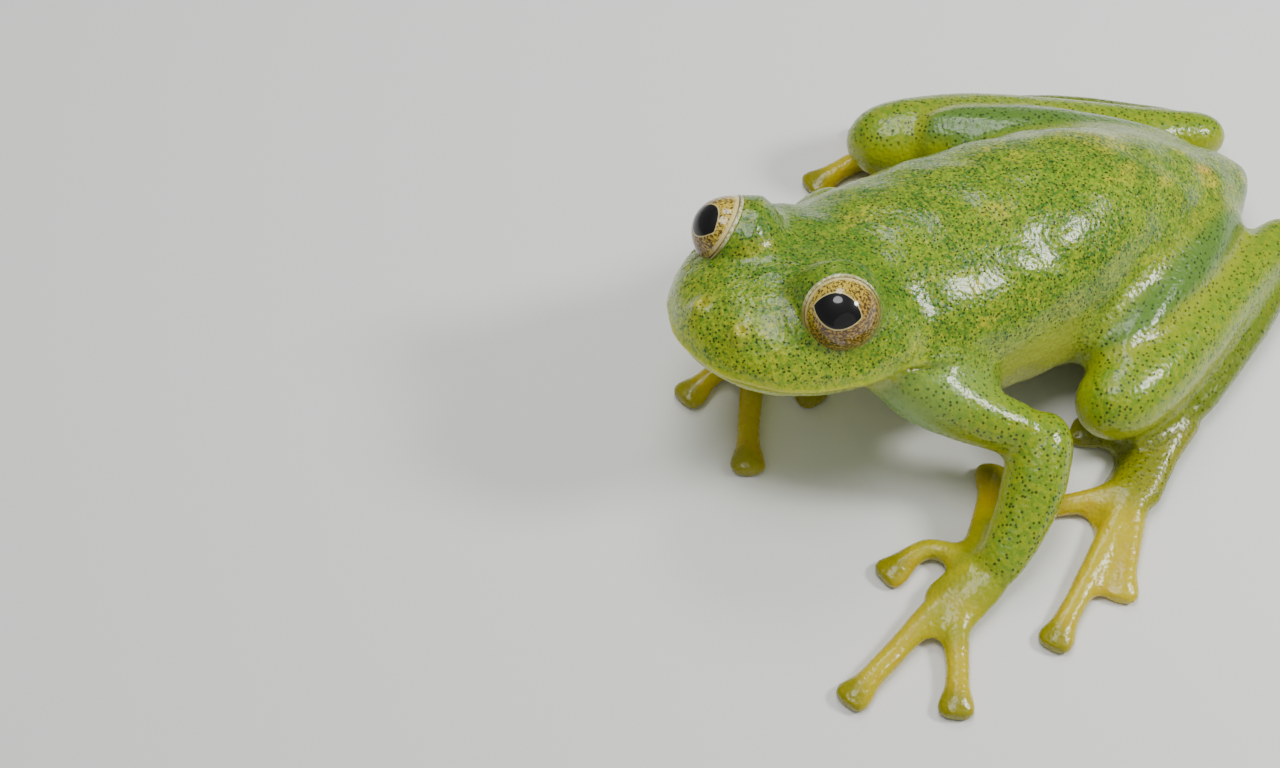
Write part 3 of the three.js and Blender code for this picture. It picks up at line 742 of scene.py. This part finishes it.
def spread(mesh, values, rounds):
    """Values evened out along the mesh's edges"""
    edges = np.empty(len(mesh.edges) * 2, np.int32)
    mesh.edges.foreach_get("vertices", edges)
    first, second = edges.reshape(-1, 2).T
    count = len(mesh.vertices)
    valence = np.bincount(first, minlength=count) + np.bincount(second, minlength=count)
    for _ in range(rounds):
        around = (np.bincount(first, values[second], count) + np.bincount(second, values[first], count))
        values = 0.5 * values + 0.5 * around / np.maximum(valence, 1)
    return values


def nearest_nodes(points):
    """For each point the name of the node of flesh whose surface is nearest"""
    names = BACK_NODES + LIMB_NODES + DIGIT_NODES
    corners, faces, owners = [], [], []
    for number, name in enumerate(names):
        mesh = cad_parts[name].data
        start = len(corners)
        corners += [vertex.co / MM for vertex in mesh.vertices]
        faces += [[start + corner for corner in polygon.vertices] for polygon in mesh.polygons]
        owners += [number] * len(mesh.polygons)
    tree = BVHTree.FromPolygons(corners, faces)
    hits = [tree.find_nearest(point)[2] for point in points]
    return np.array(names)[np.array(owners)[hits]]


def store(mesh, name, values):
    """Evens out the values as far as the region asks and keeps them as an attribute of the mesh"""
    values = spread(mesh, values.astype(float), SOFTENED.get(name, 0))
    layer = mesh.attributes.new(name, "FLOAT", "POINT")
    layer.data.foreach_set("value", np.clip(values, 0, 1).astype(np.float32))
    return values


def fade(values, name):
    return smoothstep(values, *FADES[name])


def digits_of(name):
    """Corners of a hand or foot, their reach from the highest as shares of the farthest, and the tips"""
    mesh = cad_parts[name].data
    numbers = {}
    corners = [numbers.setdefault(tuple(round(c / MM, 3) for c in vertex.co), len(numbers))
               for vertex in mesh.vertices]
    points = np.array(list(numbers))
    beside = [set() for _ in points]
    for polygon in mesh.polygons:
        around = [corners[corner] for corner in polygon.vertices]
        for first, second in zip(around, around[1:] + around[:1]):
            beside[first].add(second)
            beside[second].add(first)
    highest = int(points[:, 2].argmax())
    far = np.full(len(points), np.inf)
    far[highest] = 0
    queue = [(0.0, highest)]
    while queue:
        reach, corner = heapq.heappop(queue)
        for other in beside[corner]:
            onward = reach + math.dist(points[corner], points[other])
            if onward < far[other]:
                far[other] = onward
                heapq.heappush(queue, (onward, other))
    tips = [corner for corner in range(len(points))
            if far[corner] >= max(far[other] for other in beside[corner])
            and far[corner] >= far[np.linalg.norm(points - points[corner], axis=1) < PAD_WIDTH].max()
            and far[corner] > TIP_REACH * far.max()]
    return points, far / far.max(), points[tips]


def mark_digits(points, owner):
    """How fully each point belongs to a finger or toe rather than the palm, and to the pad at its end"""
    finger, pad = np.zeros(len(points)), np.zeros(len(points))
    for name in DIGIT_NODES:
        here = owner == name
        corners, far, tips = digits_of(name)
        tree = KDTree(len(corners))
        for number, corner in enumerate(corners):
            tree.insert(corner, number)
        tree.balance()
        share = np.array([far[tree.find(point)[1]] for point in points[here]])
        finger[here] = smoothstep(share, *FINGER_START)
        to_tip = np.linalg.norm(points[here][:, None] - tips[None], axis=2).min(axis=1)
        pad[here] = 1 - smoothstep(to_tip, *PAD_END)
    return finger, pad


def smooth_joints(skin):
    """The skin runs on from head to trunk and from trunk to limbs without a step"""
    mesh = skin.data
    points = points_of(mesh)
    owner = nearest_nodes(points)
    share = np.zeros(len(points))
    for one, other in (("head", "torso"), ("torso", "upper_arm_left"), ("torso", "upper_arm_right"),
                       ("torso", "thigh_left"), ("torso", "thigh_right")):
        first = spread(mesh, (owner == one).astype(float), JOINT_SPREAD)
        second = spread(mesh, (owner == other).astype(float), JOINT_SPREAD)
        share = np.maximum(share, np.clip(JOINT_SHARE * first * second, 0, 1))
    even = np.stack([spread(mesh, points[:, axis].copy(), JOINT_ROUNDS) for axis in range(3)], axis=1)
    move_points(mesh, points + (even - points) * spread(mesh, share, JOINT_EDGE)[:, None])


# How the skin's upper side leans out to the frog's sides, as parts of a unit vector
UPPER_LEAN = (0.35, 0.94)

# Levels between which a region of the skin fades in: mm in the head's own directions, mm from the point
# between the eyes for rump and armpit, parts of a normal for the sides, and a share for plain
FADES = {
    "upper side": (0.2, 0.72),
    "flank": (0.12, 0.5),
    "rump": (13, 17),
    "throat": (-0.45, -0.1),
    "underside": (0.1, 0.7),
    "front lip": (-0.8, 0.6),
    "low snout": (-2.0, -0.6),
    "front snout": (0.5, 3.2),
    "crown": (-1.5, 0.0),
    "armpit": (5.4, 6.8),
    "bare lip": (0.3, 0.75),
    "plain": (0.35, 0.9),
}

# Rounds of evening out at the edge of each region
SOFTENED = {"limb": 40, "thigh": 16, "digit": 45, "finger": 20, "pad": 8, "side": 10, "pale": 12, "lip": 1,
            "snout": 10, "crown": 60, "armpit": 20, "ankle": 12, "dotted": 4}

# Height of the lip's pale edge above the line of the mouth, its half width, and its share behind the snout
LIP_EDGE_ABOVE = 0.12
LIP_EDGE_WIDTH = 0.2
LIP_REAR_SHARE = 0.25

# A nostril's yellow mound: its half width and how full its tone is
NOSTRIL_TONE_WIDTH = 0.3
NOSTRIL_TONE = 0.8

# How full the tones of underside, front and lower snout and insteps are
UNDERSIDE_TONE = 0.7
FRONT_SNOUT_TONE = 0.35
LOW_SNOUT_TONE = 0.6
INSTEP_TONE = 0.8

# How far dots fade on tarsi, how far they come back on insteps, and how far the armpit's tone fades upwards
TARSUS_PLAIN = 0.5
INSTEP_DOTS = 0.5
ARMPIT_ABOVE = 0.5

# Middle of the trunk between the armpits, from the point between the eyes
TRUNK_MIDDLE = 0.3


def mark_head(mesh, local, on_head):
    """Pale edge of the lips, yellow-green snout, deeper crown and yellow mounds of the nostrils"""
    ahead = LIP_REAR_SHARE + (1 - LIP_REAR_SHARE) * fade(-local[:, 1], "front lip")
    edge = np.exp(-((local[:, 2] - MOUTH_HEIGHT - LIP_EDGE_ABOVE) / LIP_EDGE_WIDTH) ** 2)
    store(mesh, "lip", edge * mouth_share(local) * ahead * on_head)
    low = fade(local[:, 2], "low snout")
    front = fade(-local[:, 1], "front snout")
    store(mesh, "snout", (FRONT_SNOUT_TONE * front + LOW_SNOUT_TONE * (1 - low)) * on_head)
    store(mesh, "crown", (1 - front) * fade(local[:, 2], "crown") * on_head)
    away = np.hypot(np.abs(local[:, 0]) - NOSTRIL_SIDE, local[:, 1] + NOSTRIL_FORWARD)
    store(mesh, "nostril", NOSTRIL_TONE * np.exp(-(away / NOSTRIL_TONE_WIDTH) ** 2) * on_head)


def mark_back(mesh, from_eyes, on_back):
    """Yellow saddle and orange fleck"""
    for name, (x, y, half_width, half_length) in (("saddle", SADDLE), ("fleck", VENT_FLECK)):
        away = ((from_eyes[:, 0] - x) / half_width) ** 2 + ((from_eyes[:, 1] - y) / half_length) ** 2
        store(mesh, name, np.exp(-away) * on_back)


def mark_regions(skin):
    """Attributes that say where limbs, digits, pale flanks, lips and dots are"""
    mesh = skin.data
    points, normals = points_of(mesh), normals_of(mesh)
    owner = nearest_nodes(points)
    finger, pad = mark_digits(points, owner)
    limb, digit = np.isin(owner, LIMB_NODES), np.isin(owner, DIGIT_NODES)
    for name, values in (("limb", limb), ("thigh", np.isin(owner, ("thigh_left", "thigh_right"))),
                         ("digit", digit), ("finger", finger), ("pad", pad)):
        store(mesh, name, values)

    lean, rise = UPPER_LEAN
    upper = fade(lean * np.sign(points[:, 0]) * normals[:, 0] + rise * normals[:, 2], "upper side")
    side = store(mesh, "side", (1 - upper) * limb)

    local = head_places(points)
    on_head = (owner == "head") & (np.linalg.norm(local, axis=1) < THROAT_REACH)
    off = local[:, 2] - MOUTH_HEIGHT
    from_eyes = points - np.array(HEAD_MIDDLE) / MM
    flank = (1 - fade(normals[:, 2], "flank")) * (1 - fade(from_eyes[:, 1], "rump")) * (owner == "torso")
    throat = (1 - fade(off, "throat")) * on_head
    under = UNDERSIDE_TONE * fade(-normals[:, 2], "underside")
    pale = store(mesh, "pale", np.maximum.reduce([flank, throat, under]))

    mark_head(mesh, local, on_head)
    mark_back(mesh, from_eyes, (owner == "torso") & (normals[:, 2] > 0))

    arm_roots = np.isin(owner, ("upper_arm_left", "upper_arm_right"))
    near_body = 1 - fade(np.abs(from_eyes[:, 0] - TRUNK_MIDDLE), "armpit")
    armpit = store(mesh, "armpit", arm_roots * near_body * (1 - ARMPIT_ABOVE * upper))
    tarsi = np.isin(owner, ("tarsus_left", "tarsus_right"))
    insteps = np.isin(owner, ("foot_left", "foot_right")) * (1 - finger)
    store(mesh, "ankle", np.maximum(tarsi, INSTEP_TONE * insteps))

    bare_lip = np.where(on_head, fade(off, "bare lip"), 1.0)
    plain = np.maximum.reduce([digit * (1 - INSTEP_DOTS * insteps), side * limb * (1 - TARSUS_PLAIN * tarsi),
                               pale, armpit, TARSUS_PLAIN * tarsi])
    store(mesh, "dotted", bare_lip * (1 - fade(plain, "plain")))


class FROG_OT_skin(Operator):
    """One skin over head, trunk, limbs, hands and feet"""

    bl_idname = "frog.skin"
    bl_label = "Skin"

    def execute(self, context):
        sizes, colours = context.scene.frog_sizes, context.scene.frog_colours
        skin = grown_skin(sizes)
        smooth_joints(skin)
        refine_head(skin)
        mesh = skin.data
        on_back = np.isin(nearest_nodes(points_of(mesh)), BACK_NODES)
        share = spread(mesh, np.where(on_back, 1.0, SWELL_LIMB_SHARE), SWELL_SPREAD)
        move_points(mesh, swell(points_of(mesh), normals_of(mesh), share))
        points = shape_mouth(points_of(mesh), normals_of(mesh), sizes)
        move_points(mesh, points)
        points = shape_nostrils(points, normals_of(mesh), sizes)
        points = shape_sockets(points, sizes)
        move_points(mesh, flatten_soles(points))
        mark_regions(skin)
        resize(skin, MM)
        finish_piece(skin, skin_finish(colours), BACK_NODES + LIMB_NODES + DIGIT_NODES)
        return {"FINISHED"}


# The eyes


# Angles from the cornea's middle between which its bulge runs out, and cells of a ball and of a lid's edge
CORNEA_ANGLES = (10, 62)
BALL_CELLS = {"segments": 96, "ring_count": 64}
LID_CELLS = {"major_segments": 120, "minor_segments": 20}

# Clearance of the lid's edge round the eyeball, and how thick the edge is, as shares of its full radius: in
# the middle, how much more above and in front, and at least
LID_CLEARANCE = 0.02
LID_SHARE = 0.5
LID_SHARE_ABOVE = 0.35
LID_SHARE_AHEAD = 0.3
LID_SHARE_LEAST = 0.35


def turn_to(out):
    """Directions with z outwards, x level in the head and y upwards"""
    upright = HEAD_TURN @ Vector((0, 0, 1))
    x = upright.cross(out).normalized()
    return Matrix((x, out.cross(x), out)).transposed()


class FROG_OT_eyes(Operator):
    """Two eyeballs with a bulging clear cornea"""

    bl_idname = "frog.eyes"
    bl_label = "Eyes"

    def execute(self, context):
        sizes, colours = context.scene.frog_sizes, context.scene.frog_colours
        for side, node in EYE_NODES.items():
            centre = eye_centre(side)
            turn = turn_to(head_direction(side, PUPIL_TOWARDS[side]))
            lid_axis = head_direction(side, LID_TOWARDS)
            bpy.ops.object.select_all(action="DESELECT")
            bpy.ops.mesh.primitive_uv_sphere_add(radius=1.0, **BALL_CELLS)
            ball = context.view_layer.objects.active
            ball.name = ball.data.name = node.replace("eye", "eyeball")
            points = points_of(ball.data)
            angle = np.degrees(np.arccos(np.clip(points[:, 2], -1, 1)))
            bulge = sizes.cornea_bulge * (1 - smoothstep(angle, *CORNEA_ANGLES))
            move_points(ball.data, points * (sizes.eye_radius + bulge)[:, None] * MM)
            ball.matrix_world = Matrix.Translation(centre) @ turn.to_4x4()
            only(ball)
            bpy.ops.object.transform_apply(location=True, rotation=True, scale=True)
            finish = eye_finish(ball.name, side, centre, turn, lid_axis, sizes, colours)
            finish_piece(ball, finish, (node,))
        return {"FINISHED"}


class FROG_OT_lids(Operator):
    """The edge of the lids round each eye, with a cream highlight painted on its upper side"""

    bl_idname = "frog.lids"
    bl_label = "Lids"

    def execute(self, context):
        sizes, colours = context.scene.frog_sizes, context.scene.frog_colours
        edge = lid_finish(colours)
        for side, node in EYE_NODES.items():
            towards = head_direction(side, LID_TOWARDS)
            radius = math.sqrt(sizes.eye_radius ** 2 - sizes.lid_plane ** 2) + LID_CLEARANCE
            bpy.ops.object.select_all(action="DESELECT")
            bpy.ops.mesh.primitive_torus_add(major_radius=radius, minor_radius=sizes.lid_radius, **LID_CELLS)
            lid = context.view_layer.objects.active
            lid.name = lid.data.name = node.replace("eye", "lid_edge")
            points = points_of(lid.data)
            core = points * [1, 1, 0]
            core *= radius / np.linalg.norm(core, axis=1)[:, None]
            ahead, above = -side * core[:, 0:1] / radius, core[:, 1:2] / radius
            thickness = LID_SHARE + LID_SHARE_ABOVE * above + LID_SHARE_AHEAD * ahead
            move_points(lid.data, core + (points - core) * np.maximum(thickness, LID_SHARE_LEAST))
            place = eye_centre(side) + towards * (sizes.lid_plane - LID_CLEARANCE) * MM
            lid.matrix_world = Matrix.Translation(place) @ turn_to(towards).to_4x4() @ Matrix.Scale(MM, 4)
            only(lid)
            bpy.ops.object.transform_apply(location=True, rotation=True, scale=True)
            finish_piece(lid, edge)
        return {"FINISHED"}


# The studio

# What the camera aims at, from the point between the eyes, its sensor's width, and how far it sees, in metres
AIM_FROM_EYES = (-1.9, -5.0, -6.05)
SENSOR_WIDTH = 36
CAMERA_REACH = 10

# Soft lights: what they aim at, and each one's azimuth and elevation as seen from there, distance and width
LIGHT_AIM = (0, 0, 5)
LIGHTS = {
    "key": (146, 44, 90, 22),
    "far": (-110, 60, 90, 34),
    "fill": (75, 12, 250, 340),
    "top": (-20, 80, 250, 120),
}

# The even light from all round: heights in the sky between which it grows, as parts of a unit vector, and the
# shares of the surround's strength there
SKY_HEIGHTS = (0.5, 1.0)
SKY_SHARES = (0.9, 1.3)

# Width of the floor, in metres
FLOOR_WIDTH = 3.0


def direction(azimuth, elevation):
    """A unit vector, with azimuth 0 in front of the frog and 90 on its left"""
    a, e = math.radians(azimuth), math.radians(elevation)
    return Vector((math.sin(a) * math.cos(e), -math.cos(a) * math.cos(e), math.sin(e)))


def add_camera(studio):
    aim = HEAD_MIDDLE + Vector(AIM_FROM_EYES) * MM
    place = aim + direction(studio.azimuth, studio.elevation) * studio.distance * MM
    bpy.ops.object.camera_add(location=place)
    camera = bpy.context.view_layer.objects.active
    camera.name = "studio_camera"
    camera.rotation_euler = (aim - place).to_track_quat("-Z", "Y").to_euler()
    camera.data.lens = studio.lens
    camera.data.sensor_width = SENSOR_WIDTH
    camera.data.clip_start = MM
    camera.data.clip_end = CAMERA_REACH
    bpy.context.scene.camera = camera


def add_light(name, azimuth, elevation, distance, width, power):
    """A round, soft light"""
    aim = Vector(LIGHT_AIM) * MM
    place = aim + direction(azimuth, elevation) * distance * MM
    bpy.ops.object.select_all(action="DESELECT")
    bpy.ops.object.light_add(type="AREA", location=place)
    light = bpy.context.view_layer.objects.active
    light.name = name
    light.data.shape = "DISK"
    light.data.size = width * MM
    light.data.energy = power
    light.rotation_euler = (aim - place).to_track_quat("-Z", "Y").to_euler()


def add_sky(strength):
    """White light from all round, a little stronger overhead"""
    world = bpy.data.worlds.new("studio")
    world.use_nodes = True
    tree = world.node_tree
    background = tree.nodes["Background"]
    background.inputs["Color"].default_value = (1, 1, 1, 1)
    height = tree.nodes.new("ShaderNodeSeparateXYZ")
    tree.links.new(tree.nodes.new("ShaderNodeTexCoord").outputs["Generated"], height.inputs[0])
    rise = tree.nodes.new("ShaderNodeMapRange")
    rise.interpolation_type = "SMOOTHSTEP"
    strengths = (share * strength for share in SKY_SHARES)
    for number, value in enumerate((*SKY_HEIGHTS, *strengths), start=1):
        rise.inputs[number].default_value = value
    tree.links.new(height.outputs["Z"], rise.inputs[0])
    tree.links.new(rise.outputs[0], background.inputs["Strength"])
    bpy.context.scene.world = world


class FROG_OT_studio(Operator):
    """Pale floor, soft lights and the camera"""

    bl_idname = "frog.studio"
    bl_label = "Studio"

    def execute(self, context):
        studio, colours = context.scene.frog_studio, context.scene.frog_colours
        bpy.ops.object.select_all(action="DESELECT")
        bpy.ops.mesh.primitive_plane_add(size=FLOOR_WIDTH)
        floor = context.view_layer.objects.active
        floor.name = "studio_floor"
        floor.data.materials.append(floor_finish(colours))
        add_camera(studio)
        for name, light in LIGHTS.items():
            add_light(f"{name}_light", *light, getattr(studio, f"{name}_power"))
        add_sky(studio.sky)
        return {"FINISHED"}


class FROG_PT_panel(Panel):
    """Lists the steps and the values of the glass frog"""

    bl_label = "Glass frog"
    bl_space_type = "VIEW_3D"
    bl_region_type = "UI"
    bl_category = "Frog"

    def draw(self, context):
        for operator in OPERATORS:
            self.layout.operator(operator.bl_idname)
        for group in (context.scene.frog_sizes, context.scene.frog_colours, context.scene.frog_studio):
            box = self.layout.box()
            for name in group.__annotations__:
                box.prop(group, name)


OPERATORS = (FROG_OT_skin, FROG_OT_eyes, FROG_OT_lids, FROG_OT_studio)
CLASSES = (FrogSizes, FrogColours, FrogStudio, *OPERATORS, FROG_PT_panel)


def register():
    for each in CLASSES:
        bpy.utils.register_class(each)
    bpy.types.Scene.frog_sizes = PointerProperty(type=FrogSizes)
    bpy.types.Scene.frog_colours = PointerProperty(type=FrogColours)
    bpy.types.Scene.frog_studio = PointerProperty(type=FrogStudio)


def unregister():
    del bpy.types.Scene.frog_sizes
    del bpy.types.Scene.frog_colours
    del bpy.types.Scene.frog_studio
    for each in reversed(CLASSES):
        bpy.utils.unregister_class(each)


def main():
    register()
    bpy.ops.frog.studio()
    bpy.ops.frog.skin()
    bpy.ops.frog.eyes()
    bpy.ops.frog.lids()


if __name__ == "__main__":
    main()
